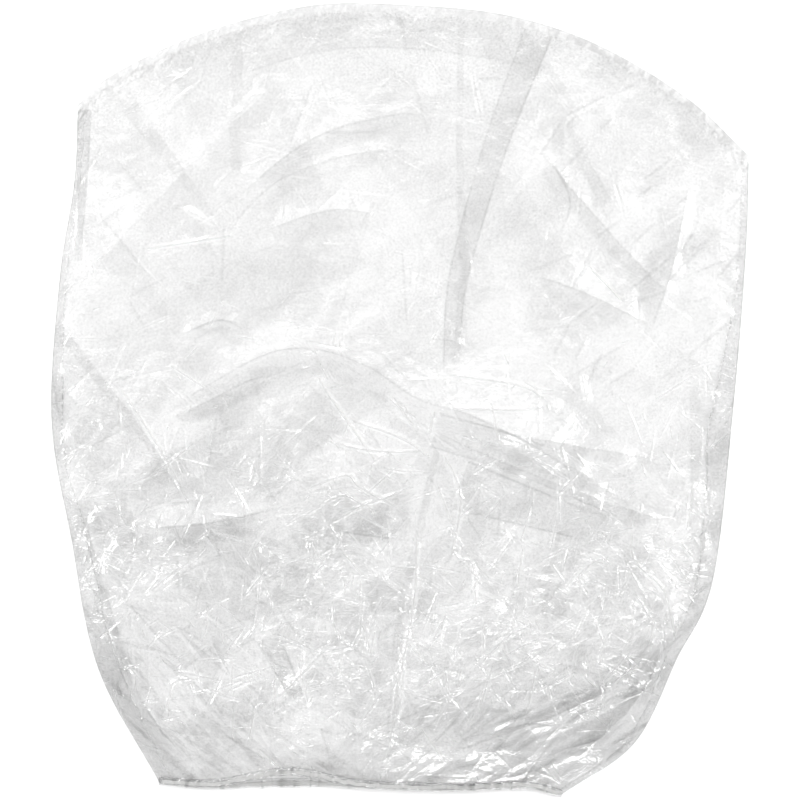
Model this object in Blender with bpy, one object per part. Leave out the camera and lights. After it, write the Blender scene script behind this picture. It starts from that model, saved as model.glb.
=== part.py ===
"""A clear disposable film cover, lying flat: two film panels joined by side gussets,
heat-sealed along an arch at one end and gathered on an elastic at its open mouth.

Metres, +Z up. The cover lies on its back panel at Z = 0, with the sealed arch towards +Y
and the mouth towards -Y. The origin is under the middle of the whole cover's box.
"""

import math

import bmesh
import bpy
from mathutils import Vector
from mathutils.geometry import interpolate_bezier

# ---- driving dimensions, in metres ----------------------------------------------------

FILM = 0.0006  # a film wall, thickened so that each layer is a solid body
GAP = 0.0003  # clearance between neighbouring pieces
SEAL_WIDTH = 0.008  # the fused band along the arch
SEAL_TOP = 2 * FILM + GAP  # two film layers and the clearance between them

UPPER_LOFT = 0.0115  # how far the front panel stands off the back one near the arch
LOWER_LOFT = 0.0210  # and where the gathered film bulges, nearer the mouth
MOUTH_LOFT = 0.0125  # and at the open mouth
SIDE_DROP = 0.5  # share of the loft that is lost at the panel's side edges

GUSSET_BASE = 0.008  # narrowest width of a side gusset
LEFT_GUSSET_PEAK = 0.030  # widest, and how far down the side that is
LEFT_GUSSET_PEAK_AT = 0.85
RIGHT_GUSSET_PEAK = 0.024
RIGHT_GUSSET_PEAK_AT = 0.45
GUSSET_SPREAD = 0.25  # share of the side over which a gusset widens

CASING_WIDTH = 0.010  # the folded hem that the elastic runs in
CASING_HEIGHT = 0.0036
CASING_END = 0.006  # each casing stops this far short of the mouth's corner
WELD_WIDTH = 0.0020  # the line that closes the hem
WELD_HEIGHT = 0.0012

ELASTIC_WIDTH = 0.0040
ELASTIC_THICKNESS = 0.0008
LAP_LENGTH = 0.012  # where the elastic's ends are welded into a ring
LAP_WIDTH = 0.0050
LAP_THICKNESS = 0.0014

# The outline, seen from above, as the few points that each smooth edge passes through.
ARCH = [
    (-0.3235, 0.2970),
    (-0.2880, 0.3270),
    (-0.2000, 0.3680),
    (-0.0900, 0.3960),
    (0.0100, 0.3965),
    (0.1100, 0.3860),
    (0.2000, 0.3560),
    (0.2900, 0.3020),
    (0.3505, 0.2450),
]
LEFT_SIDE = [
    (-0.3235, 0.2970),
    (-0.3270, 0.2200),
    (-0.3420, 0.1200),
    (-0.3500, -0.0200),
    (-0.3300, -0.1400),
    (-0.3030, -0.2700),
    (-0.2405, -0.3860),
]
RIGHT_SIDE = [
    (0.3505, 0.2450),
    (0.3475, 0.1500),
    (0.3355, 0.0000),
    (0.3145, -0.1800),
    (0.2780, -0.2600),
    (0.2350, -0.3450),
    (0.1595, -0.3980),
]
MOUTH = [
    (-0.2405, -0.3860),
    (-0.1850, -0.3880),
    (-0.1100, -0.3760),
    (-0.0400, -0.3880),
    (0.0500, -0.3910),
    (0.1200, -0.3880),
    (0.1595, -0.3980),
]

PANEL_COLUMNS = 24  # faces across and along the front panel
PANEL_ROWS = 20
GUSSET_COLUMNS = 2
TURN_STATIONS = 6  # steps round each end of the elastic
CURVE_SAMPLES = 240
KNOT_SAMPLES = 24  # between two of the points that an edge passes through
CORNER_PULL = 8  # how sharply a moved edge bends back to meet its neighbours
SHARP_ANGLE = 35  # in degrees; steeper corners than this stay crisp

FILM_COLOUR = (0.92, 0.93, 0.94)
SEAL_COLOUR = (0.86, 0.88, 0.90)
HEM_COLOUR = (0.84, 0.86, 0.88)
ELASTIC_COLOUR = (0.90, 0.89, 0.86)

FILM_ROUGHNESS = 0.10
HEM_ROUGHNESS = 0.20
SEAL_ROUGHNESS = 0.28
ELASTIC_ROUGHNESS = 0.55


# ---- curves ---------------------------------------------------------------------------


def evenly(points, count):
    """The same curve as count + 1 points, spaced evenly along its length."""
    lengths = [0.0]
    for before, after in zip(points, points[1:]):
        lengths.append(lengths[-1] + (after - before).length)
    spaced, span = [], 0
    for step in range(count + 1):
        wanted = lengths[-1] * step / count
        while span < len(points) - 2 and lengths[span + 1] < wanted:
            span += 1
        share = (wanted - lengths[span]) / (lengths[span + 1] - lengths[span])
        spaced.append(points[span].lerp(points[span + 1], share))
    return spaced


def smooth_curve(corners):
    """An evenly spaced smooth curve through the given corners."""
    knots = [Vector(corner) for corner in corners]
    path = [knots[0]]
    for i in range(len(knots) - 1):
        before = knots[max(i - 1, 0)]
        start, end = knots[i], knots[i + 1]
        after = knots[min(i + 2, len(knots) - 1)]
        leave = start + (end - before) / 6
        arrive = end - (after - start) / 6
        path += interpolate_bezier(start, leave, arrive, end, KNOT_SAMPLES)[1:]
    return evenly([Vector(p[:2]) for p in path], CURVE_SAMPLES)


def at(curve, share):
    """The point at this share of the curve's length."""
    place = min(max(share, 0.0), 1.0) * (len(curve) - 1)
    index = min(int(place), len(curve) - 2)
    return curve[index].lerp(curve[index + 1], place - index)


def shifted(curve, distance, right_hand):
    """The curve moved sideways: to the right of its direction, or to the left of it.

    distance is a number, or a function of the share of the curve's length.
    """
    moved = []
    last = len(curve) - 1
    for i, point in enumerate(curve):
        along = (curve[min(i + 1, last)] - curve[max(i - 1, 0)]).normalized()
        side = Vector((along.y, -along.x)) if right_hand else Vector((-along.y, along.x))
        reach = distance(i / last) if callable(distance) else distance
        moved.append(point + side * reach)
    return moved


def pinned(curve, start, end):
    """The curve with its ends brought to start and end, and its middle left where it is."""
    last = len(curve) - 1
    start_move, end_move = start - curve[0], end - curve[-1]
    return [
        point + start_move * (1 - i / last) ** CORNER_PULL + end_move * (i / last) ** CORNER_PULL
        for i, point in enumerate(curve)
    ]


def smoothstep(low, high, value):
    share = min(max((value - low) / (high - low), 0.0), 1.0)
    return share * share * (3 - 2 * share)


def centred(curves):
    """The curves moved together, so that the box around them all is centred on the origin."""
    xs = [point.x for curve in curves for point in curve]
    ys = [point.y for curve in curves for point in curve]
    middle = Vector(((min(xs) + max(xs)) / 2, (min(ys) + max(ys)) / 2))
    return [[point - middle for point in curve] for curve in curves]


# ---- heights --------------------------------------------------------------------------


def loft(v):
    """How far the front panel stands off the seal's level, from the seal (0) to the mouth (1)."""
    rise = 1 - (1 - min(v / 0.12, 1.0)) ** 2
    bulge = (LOWER_LOFT - UPPER_LOFT) * smoothstep(0.40, 0.72, v)
    fall = (LOWER_LOFT - MOUTH_LOFT) * smoothstep(0.78, 1.0, v)
    return rise * (UPPER_LOFT + bulge - fall)


def front_height(u, v):
    """The front panel's upper face: u runs across it, and v from the seal to the mouth."""
    return SEAL_TOP + loft(v) * (1 - SIDE_DROP * abs(2 * u - 1) ** 4)


def gusset_foot(v):
    """The upper face of a gusset's outer edge. It rises at the mouth, over the back hem."""
    clear_of_hem = CASING_HEIGHT + GAP + CASING_HEIGHT / 2 + FILM / 2
    return SEAL_TOP + (clear_of_hem - SEAL_TOP) * smoothstep(0.8, 1.0, v)


def back_height(v):
    """The back panel's upper face: flat on the ground, then up to the middle of its hem."""
    return FILM + (CASING_HEIGHT / 2 - FILM / 2) * smoothstep(0.93, 1.0, v)


def gusset_width(peak, peak_at):
    def width(v):
        return GUSSET_BASE + (peak - GUSSET_BASE) * math.exp(-(((v - peak_at) / GUSSET_SPREAD) ** 2))

    return width


# ---- mesh helpers ---------------------------------------------------------------------


def finish(name, bm, colour, roughness):
    """Turns bm into a named object with its own material."""
    bmesh.ops.recalc_face_normals(bm, faces=bm.faces)
    mesh = bpy.data.meshes.new(name)
    bm.to_mesh(mesh)
    bm.free()
    mesh.shade_smooth()
    mesh.set_sharp_from_angle(angle=math.radians(SHARP_ANGLE))
    material = bpy.data.materials.new(name)
    material.use_nodes = True
    shader = material.node_tree.nodes["Principled BSDF"]
    shader.inputs["Base Color"].default_value = (*colour, 1.0)
    shader.inputs["Roughness"].default_value = roughness
    shader.inputs["Metallic"].default_value = 0.0
    mesh.materials.append(material)
    made = bpy.data.objects.new(name, mesh)
    bpy.context.collection.objects.link(made)
    return made


def skin(bm, rings, closed):
    """Faces between rings of vertices that have the same number of points each."""
    for ring, following in zip(rings, rings[1:]):
        count = len(ring)
        for i in range(count if closed else count - 1):
            j = (i + 1) % count
            bm.faces.new((ring[i], ring[j], following[j], following[i]))


def thicken(bm, depth):
    """Adds the underside of a sheet, depth below it, and the walls round its rim."""
    rim = [edge for edge in bm.edges if edge.is_boundary]
    top = list(bm.faces)
    copy = bmesh.ops.duplicate(bm, geom=list(bm.verts) + list(bm.edges) + top)
    twin = copy["vert_map"]
    for vertex in [item for item in copy["geom"] if isinstance(item, bmesh.types.BMVert)]:
        vertex.co.z -= depth
    for edge in rim:
        start, end = edge.verts
        bm.faces.new((start, end, twin[end], twin[start]))


def equal_steps(count):
    return [i / count for i in range(count + 1)]


def sheet(name, place, columns, rows, depth, colour, roughness):
    """A film layer: place(column, v) gives its upper face, and depth its thickness.

    v takes the given number of steps, from 0 at the arch to 1 at the mouth.
    """
    bm = bmesh.new()
    rings = []
    for step in equal_steps(rows):
        v = 0.5 - 0.5 * math.cos(math.pi * step)  # closer together at both ends
        rings.append([bm.verts.new(place(column, v)) for column in columns])
    skin(bm, rings, closed=False)
    thicken(bm, depth)
    return finish(name, bm, colour, roughness)


def sweep(name, path, section, colour, roughness):
    """A solid bar: section, a list of (sideways, up) points, carried along path, with flat ends.

    The section stays level from side to side, and turns over where the path does.
    """
    bm = bmesh.new()
    rings = []
    last = len(path) - 1
    level = Vector((0.0, 1.0, 0.0))
    for i, point in enumerate(path):
        along = (path[min(i + 1, last)] - path[max(i - 1, 0)]).normalized()
        sideways = (level - along * level.dot(along)).normalized()
        up = along.cross(sideways)
        rings.append([bm.verts.new(point + sideways * a + up * b) for a, b in section])
    skin(bm, rings, closed=True)
    bm.faces.new(rings[0])
    bm.faces.new(rings[-1])
    return finish(name, bm, colour, roughness)


def flat_tube(width, height):
    """The section of a film hem pressed nearly flat, six-sided."""
    shoulder = 0.7 * width / 2
    return [
        (width / 2, 0.0),
        (shoulder, height / 2),
        (-shoulder, height / 2),
        (-width / 2, 0.0),
        (-shoulder, -height / 2),
        (shoulder, -height / 2),
    ]


def box_section(width, height):
    return [
        (width / 2, -height / 2),
        (width / 2, height / 2),
        (-width / 2, height / 2),
        (-width / 2, -height / 2),
    ]


# ---- the cover's edges ----------------------------------------------------------------


def cover_edges():
    """The outline and the lines inside it that the pieces meet on."""
    outline = [smooth_curve(corners) for corners in (ARCH, LEFT_SIDE, RIGHT_SIDE, MOUTH)]
    arch, left, right, mouth = centred(outline)
    edges = {"arch": arch, "mouth": mouth}
    edges["arch_inner"] = shifted(arch, SEAL_WIDTH, right_hand=True)
    edges["hem_line"] = shifted(mouth, CASING_WIDTH / 2, right_hand=False)
    edges["weld_line"] = shifted(mouth, CASING_WIDTH + GAP + WELD_WIDTH / 2, right_hand=False)
    panel_arch = shifted(arch, SEAL_WIDTH + GAP, right_hand=True)
    panel_mouth = shifted(mouth, CASING_WIDTH + WELD_WIDTH + 2 * GAP, right_hand=False)
    edges["panel_arch"] = panel_arch
    edges["panel_mouth"] = panel_mouth
    edges["left"] = pinned(left, panel_arch[0], panel_mouth[0])
    edges["right"] = pinned(right, panel_arch[-1], panel_mouth[-1])
    left_width = gusset_width(LEFT_GUSSET_PEAK, LEFT_GUSSET_PEAK_AT)
    right_width = gusset_width(RIGHT_GUSSET_PEAK, RIGHT_GUSSET_PEAK_AT)
    lengths = [
        sum((b - a).length for a, b in zip(curve, curve[1:])) for curve in (panel_arch, panel_mouth)
    ]
    # Where the gussets' inner edges start and end, as shares of the arch and of the mouth.
    edges["arch_span"] = (left_width(0) / lengths[0], 1 - right_width(0) / lengths[0])
    edges["mouth_span"] = (left_width(1) / lengths[1], 1 - right_width(1) / lengths[1])
    for side, width, right_hand, end in (("left", left_width, False, 0), ("right", right_width, True, 1)):
        inner = shifted(edges[side], width, right_hand)
        start_point = at(panel_arch, edges["arch_span"][end])
        end_point = at(panel_mouth, edges["mouth_span"][end])
        edges[side + "_inner"] = pinned(inner, start_point, end_point)
    return edges


def patch_point(arch, mouth, left, right, u, v):
    """A point of the smooth surface that the four edges bound, seen from above."""
    across = at(arch, u) * (1 - v) + at(mouth, u) * v
    along = at(left, v) * (1 - u) + at(right, v) * u
    corners = (at(arch, 0) * (1 - u) + at(arch, 1) * u) * (1 - v)
    corners += (at(mouth, 0) * (1 - u) + at(mouth, 1) * u) * v
    return across + along - corners


def shared_columns(span):
    """Where the columns of the left gusset, the front panel and the right gusset fall on an edge."""
    low, high = span
    steps = equal_steps(GUSSET_COLUMNS)
    left = [low * step for step in steps]
    middle = [low + (high - low) * step for step in equal_steps(PANEL_COLUMNS)]
    right = [high + (1 - high) * step for step in steps]
    return left + middle[1:-1] + right


def mouth_height(edges, share):
    """The level of the front layer at the mouth, gussets included, at this share of its length."""
    low, high = edges["mouth_span"]
    if share < low:
        mix = share / low
        return gusset_foot(1.0) * (1 - mix) + front_height(0.0, 1.0) * mix
    if share > high:
        mix = (1 - share) / (1 - high)
        return gusset_foot(1.0) * (1 - mix) + front_height(1.0, 1.0) * mix
    return front_height((share - low) / (high - low), 1.0)


# ---- the pieces -----------------------------------------------------------------------


def back_film_panel(edges):
    sides = (edges["panel_arch"], edges["panel_mouth"], edges["left"], edges["right"])
    at_arch = shared_columns(edges["arch_span"])
    at_mouth = shared_columns(edges["mouth_span"])

    def place(column, v):
        u = at_arch[column] * (1 - v) + at_mouth[column] * v
        point = patch_point(*sides, u, v)
        return (point.x, point.y, back_height(v))

    columns = range(len(at_mouth))
    return sheet("back_film_panel", place, columns, PANEL_ROWS, FILM, FILM_COLOUR, FILM_ROUGHNESS)


def stretch_of(curve, low, high):
    """The part of the curve between two shares of its length."""
    return [at(curve, low + (high - low) * i / CURVE_SAMPLES) for i in range(CURVE_SAMPLES + 1)]


def front_film_panel(edges):
    arch = stretch_of(edges["panel_arch"], *edges["arch_span"])
    mouth = stretch_of(edges["panel_mouth"], *edges["mouth_span"])
    sides = (arch, mouth, edges["left_inner"], edges["right_inner"])

    def place(u, v):
        point = patch_point(*sides, u, v)
        return (point.x, point.y, front_height(u, v))

    columns = equal_steps(PANEL_COLUMNS)
    return sheet("front_film_panel", place, columns, PANEL_ROWS, FILM, FILM_COLOUR, FILM_ROUGHNESS)


def side_gusset(edges, side):
    """The strip that joins the front panel's side edge to the back panel's."""
    panel_side = 0.0 if side == "left" else 1.0

    def place(u, v):
        inner, outer = at(edges[side + "_inner"], v), at(edges[side], v)
        clear = GAP / (outer - inner).length
        share = clear + (1 - clear) * u
        point = inner.lerp(outer, share)
        height = front_height(panel_side, v) * (1 - share) + gusset_foot(v) * share
        return (point.x, point.y, height)

    name = side + "_side_gusset"
    return sheet(name, place, equal_steps(GUSSET_COLUMNS), PANEL_ROWS, FILM, FILM_COLOUR, FILM_ROUGHNESS)


def arch_heat_seal(edges):
    """Both layers fused into one band round the arch."""

    def place(u, v):
        point = at(edges["arch"], u).lerp(at(edges["arch_inner"], u), v)
        return (point.x, point.y, SEAL_TOP)

    columns = shared_columns(edges["arch_span"])
    return sheet("arch_heat_seal", place, columns, 1, SEAL_TOP, SEAL_COLOUR, SEAL_ROUGHNESS)


def hem_path(edges, line, height, ends):
    """A path along the mouth, stopping short of its corners by the given length at each end."""
    curve = edges[line]
    length = sum((b - a).length for a, b in zip(curve, curve[1:]))
    short = ends / length
    inside = [share for share in shared_columns(edges["mouth_span"]) if short < share < 1 - short]
    path = []
    for share in [short] + inside + [1 - short]:
        point = at(curve, share)
        path.append(Vector((point.x, point.y, height(share))))
    return path


def hem_casing(edges, layer, height):
    """The folded hem of one layer: a flattened film tube, open at both ends."""
    path = hem_path(edges, "hem_line", height, CASING_END)
    outer = flat_tube(CASING_WIDTH, CASING_HEIGHT)
    made = sweep(layer + "_hem_casing", path, outer, HEM_COLOUR, HEM_ROUGHNESS)
    inner = flat_tube(CASING_WIDTH - 3 * FILM, CASING_HEIGHT - 2 * FILM)
    longer = [path[0] + (path[0] - path[1])] + path + [path[-1] + (path[-1] - path[-2])]
    bore = sweep(layer + "_hem_bore", longer, inner, HEM_COLOUR, HEM_ROUGHNESS)
    bore.hide_render = True
    bore.display_type = "WIRE"
    cut = made.modifiers.new("bore", "BOOLEAN")
    cut.operation = "DIFFERENCE"
    cut.solver = "EXACT"
    cut.object = bore
    return made


def hem_weld(edges, layer, height):
    """The weld line that closes a hem casing against its panel."""
    path = hem_path(edges, "weld_line", height, CASING_END)
    section = box_section(WELD_WIDTH, WELD_HEIGHT)
    return sweep(layer + "_hem_weld", path, section, SEAL_COLOUR, SEAL_ROUGHNESS)


def elastic_path(edges, front_level, back_level):
    """The elastic's run: half the back hem, round one corner, the front hem, and back again."""
    front = hem_path(edges, "hem_line", front_level, CASING_END)
    back = hem_path(edges, "hem_line", back_level, CASING_END)

    def turn(upper, lower, outward):
        centre, reach = (upper + lower) / 2, (upper - lower).length / 2
        steps = [math.pi * i / TURN_STATIONS for i in range(1, TURN_STATIONS)]
        return [
            centre + outward * reach * math.sin(angle) + (upper - centre) * math.cos(angle)
            for angle in steps
        ]

    half = len(back) // 2
    right_turn = turn(front[-1], back[-1], Vector((1.0, 0.0, 0.0)))
    left_turn = turn(front[0], back[0], Vector((-1.0, 0.0, 0.0)))
    middle = back[half]
    to_right = (back[half + 1] - middle).normalized()
    to_left = (back[half - 1] - middle).normalized()
    clear = LAP_LENGTH / 2 + GAP
    path = [middle + to_right * clear] + back[half + 2 :]
    path += list(reversed(right_turn))
    path += list(reversed(front))
    path += left_turn
    path += back[: half - 1] + [middle + to_left * clear]
    lap = [middle + to_left * LAP_LENGTH / 2, middle + to_right * LAP_LENGTH / 2]
    return path, lap


def elastic_pieces(path, lap):
    """The flat elastic, one ring apart from the lap where its ends are welded, and the lap."""
    band = box_section(ELASTIC_WIDTH, ELASTIC_THICKNESS)
    sweep("elastic_band", path, band, ELASTIC_COLOUR, ELASTIC_ROUGHNESS)
    weld = box_section(LAP_WIDTH, LAP_THICKNESS)
    sweep("elastic_lap_weld", lap, weld, ELASTIC_COLOUR, ELASTIC_ROUGHNESS)


def build():
    for old in list(bpy.data.objects):
        bpy.data.objects.remove(old)
    edges = cover_edges()

    def front_level(share):
        return mouth_height(edges, share) - FILM / 2

    def back_level(share):
        return CASING_HEIGHT / 2

    back_film_panel(edges)
    front_film_panel(edges)
    for side in ("left", "right"):
        side_gusset(edges, side)
    arch_heat_seal(edges)
    for layer, level in (("front", front_level), ("back", back_level)):
        hem_casing(edges, layer, level)
        hem_weld(edges, layer, level)
    elastic_pieces(*elastic_path(edges, front_level, back_level))


build()
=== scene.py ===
"""The looks of a clear disposable film cover that lies flat on a pale floor.

The film is built as height fields over the cover's plan: broad folds, flat crumpled
facets with straight creases between them, ripples and gathers. Metres, +Z up.
"""

import math

import bpy
import numpy as np
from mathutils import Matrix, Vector
from mathutils.geometry import delaunay_2d_cdt


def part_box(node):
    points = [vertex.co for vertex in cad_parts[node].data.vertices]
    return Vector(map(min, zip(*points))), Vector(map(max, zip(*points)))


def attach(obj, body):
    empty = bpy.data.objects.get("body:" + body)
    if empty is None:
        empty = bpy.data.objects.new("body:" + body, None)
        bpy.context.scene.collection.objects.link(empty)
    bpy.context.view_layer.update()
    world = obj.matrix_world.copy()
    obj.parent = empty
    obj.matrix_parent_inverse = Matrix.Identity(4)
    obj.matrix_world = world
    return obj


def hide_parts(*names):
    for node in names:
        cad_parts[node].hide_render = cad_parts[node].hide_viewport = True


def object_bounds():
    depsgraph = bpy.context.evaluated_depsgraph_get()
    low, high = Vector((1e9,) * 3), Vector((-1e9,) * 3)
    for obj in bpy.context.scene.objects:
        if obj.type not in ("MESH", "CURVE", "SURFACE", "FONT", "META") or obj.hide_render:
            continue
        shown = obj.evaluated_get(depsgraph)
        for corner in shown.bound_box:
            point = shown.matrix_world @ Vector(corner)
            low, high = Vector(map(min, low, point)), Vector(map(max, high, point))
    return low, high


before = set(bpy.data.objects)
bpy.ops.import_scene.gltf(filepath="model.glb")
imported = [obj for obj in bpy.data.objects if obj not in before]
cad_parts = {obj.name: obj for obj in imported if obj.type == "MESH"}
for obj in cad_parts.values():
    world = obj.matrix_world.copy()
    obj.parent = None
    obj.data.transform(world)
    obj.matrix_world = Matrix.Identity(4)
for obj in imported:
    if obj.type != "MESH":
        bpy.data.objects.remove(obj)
cad_low, cad_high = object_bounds()

# ---- sizes in metres, and looks ----

FILM_GAP = 0.0006  # least distance between the front film and the back film
FRONT_COLUMNS, FRONT_ROWS = 840, 970
BACK_COLUMNS, BACK_ROWS = 400, 460
SEAL_ROWS = 8
GUSSET_ROWS, GUSSET_COLUMNS = 520, 24
HEM_STEPS, HEM_FACETS = 700, 14

MEAN_WIDTH, MEAN_LENGTH = 0.66, 0.75  # of the cover, to turn shares into distances
SEAL_WIDTH = 0.008  # the fused band round the arch
LOFT, MOUTH_LOFT = 0.0070, 0.0075  # how far the front film stands off, and its gain by the mouth
ARCH_RISE, SIDE_RISE, MOUTH_RISE = 0.12, 0.070, 0.06  # over how far it rises from each edge
SIDE_CALM = 0.015  # how far in from its sides the film is less crumpled
HEM_WIDTH, HEM_HEIGHT = 0.0085, 0.0028
HEM_WANDER, HEM_SWAY = 0.0007, 0.0010  # how far its fine and broad gathers move it sideways
HEM_RIPPLE, HEM_LIFT = 0.0006, 0.0002
WELD_WIDTH, WELD_HEIGHT = 0.0018, 0.0007
ELASTIC_WIDTH, ELASTIC_HEIGHT = 0.0036, 0.0008
ELASTIC_TURN = 0.005  # how far it reaches out where it turns back at the mouth's ends
ELASTIC_WANDER = 0.0008

FIELD_PITCH = 0.0007  # spacing of the height fields' samples
FIELD_MARGIN = 0.03
FACET_REACH = 0.62  # how far the facets spread from the origin, along and across
FACET_JITTER = 0.42  # how far a corner may be from its even place, as a share of a facet
HOLLOW = 0.35  # the share of the scattered creases that are hollows, not ridges
FOLD_REACH = 0.075  # the widest that a placed fold spreads to a side of its line
SPAN_STEPS = 40  # points on each span of a smooth path, before they are spaced evenly

BACK_LEVEL, FRONT_LEVEL, SEAL_LEVEL = 0.0004, 0.0018, 0.0013  # heights they start from
FINE_FADE, BROAD_FADE, BACK_FADE = 0.012, 0.080, 0.030  # over how far folds grow from an edge
SEAL_FADE = 0.030  # over how far the two films part, past the seal
CRIMP_DEPTH = 0.0001

MOTTLE = 3.2  # how much the film's cloudiness varies from place to place, in plies
PLY_PASSES = 0.91  # the share of light that a further ply lets through unscattered
WHITENING_AND_HIGHLIGHT = 0.75  # how milky the film is along its sharpest creases: partly its own stress whitening, partly a painted highlight
PLY_MIRROR = 0.35  # how much a further ply adds to the light mirrored, as a share of one film's
BROAD_PLEAT = 0.020  # a pleat that starts wider than this has darker edges
BUNCHES = (-0.115, 0.066, 0.105)  # where along the mouth the gathers are thickest
BUNCH_WIDTH, BUNCH_PLIES = 0.010, 3.5
CORNER_FOLDS = (-0.75, 0.5)  # directions of the folds near the mouth's ends, in radians
MOUTH_MIDDLE = -0.04
PINCH = 0.0008  # half the width of the film that is pinched double along a crease
EDGE_PLIES_AND_SHADE = 2.0  # how many plies a folded edge looks like it adds: partly the turned film, partly painted shade
ARCH_EYE = -0.2  # the y of the point that the arch is measured from
FACE_MIRROR = 0.04  # the share of light that one face of the film mirrors, seen square on

WHITE, MILKY, FLOOR_COLOUR = (1, 1, 1, 1), (0.9, 0.9, 0.9, 1), (0.93, 0.93, 0.93, 1)
ELASTIC_GRAIN = 700
ELASTIC_COLOURS = [(0.42, 0.42, 0.42, 1), (0.62, 0.62, 0.61, 1)]

# The outline from above, as the points that each smooth edge passes through.
ARCH = [
    (-0.3235, 0.297), (-0.288, 0.327), (-0.2, 0.368), (-0.09, 0.396), (0.01, 0.3965),
    (0.11, 0.386), (0.2, 0.356), (0.29, 0.302), (0.3505, 0.245),
]
LEFT_SIDE = [
    (-0.3235, 0.297), (-0.327, 0.22), (-0.342, 0.12), (-0.35, -0.02), (-0.33, -0.14),
    (-0.303, -0.27), (-0.2405, -0.386),
]
RIGHT_SIDE = [
    (0.3505, 0.245), (0.3475, 0.15), (0.3355, 0.0), (0.3145, -0.18), (0.278, -0.26),
    (0.235, -0.345), (0.1595, -0.398),
]
MOUTH = [
    (-0.2405, -0.386), (-0.185, -0.388), (-0.11, -0.376), (-0.04, -0.388), (0.05, -0.391),
    (0.12, -0.388), (0.1595, -0.398),
]
BACK_MOUTH = [
    (-0.2405, -0.386), (-0.185, -0.3905), (-0.11, -0.3885), (-0.04, -0.39), (0.05, -0.3925),
    (0.12, -0.39), (0.1595, -0.398),
]

GUSSET_WANDER = 0.0010  # how unevenly the side gussets are folded

# Width of each side gusset at shares of the side's length, from the arch to the mouth.
GUSSET_WIDTHS = {
    "left": [
        (0.0, 0.008), (0.25, 0.008), (0.42, 0.013), (0.52, 0.011), (0.68, 0.021), (0.84, 0.029),
        (1.0, 0.024),
    ],
    "right": [(0.0, 0.008), (0.20, 0.009), (0.42, 0.026), (0.55, 0.020), (0.75, 0.012), (1.0, 0.010)],
}


# ---- curves and patches ----


def smooth_path(corners, count=400):
    """count + 1 evenly spaced points on a smooth curve through the corners."""
    knots = np.array(corners, float)
    padded = np.vstack([2 * knots[0] - knots[1], knots, 2 * knots[-1] - knots[-2]])
    t = np.linspace(0, 1, SPAN_STEPS, endpoint=False)[:, None]
    spans = []
    for i in range(len(knots) - 1):
        a, b, c, d = padded[i : i + 4]
        square, cube = 2 * a - 5 * b + 4 * c - d, 3 * b - a - 3 * c + d
        spans.append(0.5 * (2 * b + (c - a) * t + square * t**2 + cube * t**3))
    points = np.vstack(spans + [knots[-1:]])
    steps = np.r_[0, np.cumsum(np.linalg.norm(np.diff(points, axis=0), axis=1))]
    even = np.linspace(0, steps[-1], count + 1)
    return np.column_stack([np.interp(even, steps, points[:, k]) for k in range(points.shape[1])])


def at(path, share):
    """Points of an evenly spaced path at these shares of its length."""
    index = np.clip(share, 0, 1) * (len(path) - 1)
    return np.stack([np.interp(index, np.arange(len(path)), path[:, k]) for k in range(path.shape[1])], -1)


def coons(top, bottom, left, right, u, v):
    """The smooth patch between four edges, at the grids u (across) and v (top to bottom)."""
    u, v = u[..., None], v[..., None]
    across = at(top, u[..., 0]) * (1 - v) + at(bottom, u[..., 0]) * v
    along = at(left, v[..., 0]) * (1 - u) + at(right, v[..., 0]) * u
    corners = (top[0] * (1 - u) + top[-1] * u) * (1 - v) + (bottom[0] * (1 - u) + bottom[-1] * u) * v
    return across + along - corners


def smoothstep(low, high, value):
    share = np.clip((value - low) / (high - low), 0, 1)
    return share * share * (3 - 2 * share)


def near(distance, width):
    """How near a line every sample is: 1 at up to half the width from it, 0 from 1.5 widths."""
    return np.clip(1.5 - np.abs(distance) / width, 0, 1)


# ---- height fields ----

field_x = np.arange(cad_low.x - FIELD_MARGIN, cad_high.x + FIELD_MARGIN, FIELD_PITCH)
field_y = np.arange(cad_low.y - FIELD_MARGIN, cad_high.y + FIELD_MARGIN, FIELD_PITCH)
FX, FY = np.meshgrid(field_x, field_y)
KX = np.fft.rfftfreq(len(field_x), FIELD_PITCH)[None, :]
KY = np.fft.fftfreq(len(field_y), FIELD_PITCH)[:, None]


def blurred(field, radius):
    """The field smoothed over this radius."""
    keep = np.exp(-2 * (math.pi * radius) ** 2 * (KX**2 + KY**2))
    return np.fft.irfft2(np.fft.rfft2(field) * keep, s=field.shape)


def streaks(seed, length, width, angle):
    """Smooth random swells drawn out along angle, with unit spread."""
    rng = np.random.default_rng(seed)
    along = (KX * math.cos(angle) + KY * math.sin(angle)) * length
    across = (-KX * math.sin(angle) + KY * math.cos(angle)) * width
    keep = np.exp(-2 * (math.pi / 3) ** 2 * (along**2 + across**2))
    field = np.fft.irfft2(np.fft.rfft2(rng.standard_normal(FX.shape)) * keep, s=FX.shape)
    return (field - field.mean()) / field.std()


def folded(seed, length, width, angle, softness):
    """Broad folds with creased crests that wander along angle."""
    field = streaks(seed, length, width, angle)
    return blurred(1.0 - np.abs(field), softness)


def swells(seed, size):
    """Smooth random swells of about this size, with unit spread."""
    rng = np.random.default_rng(seed)
    field = blurred(rng.standard_normal(FX.shape), size / 3)
    return (field - field.mean()) / field.std()


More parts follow.
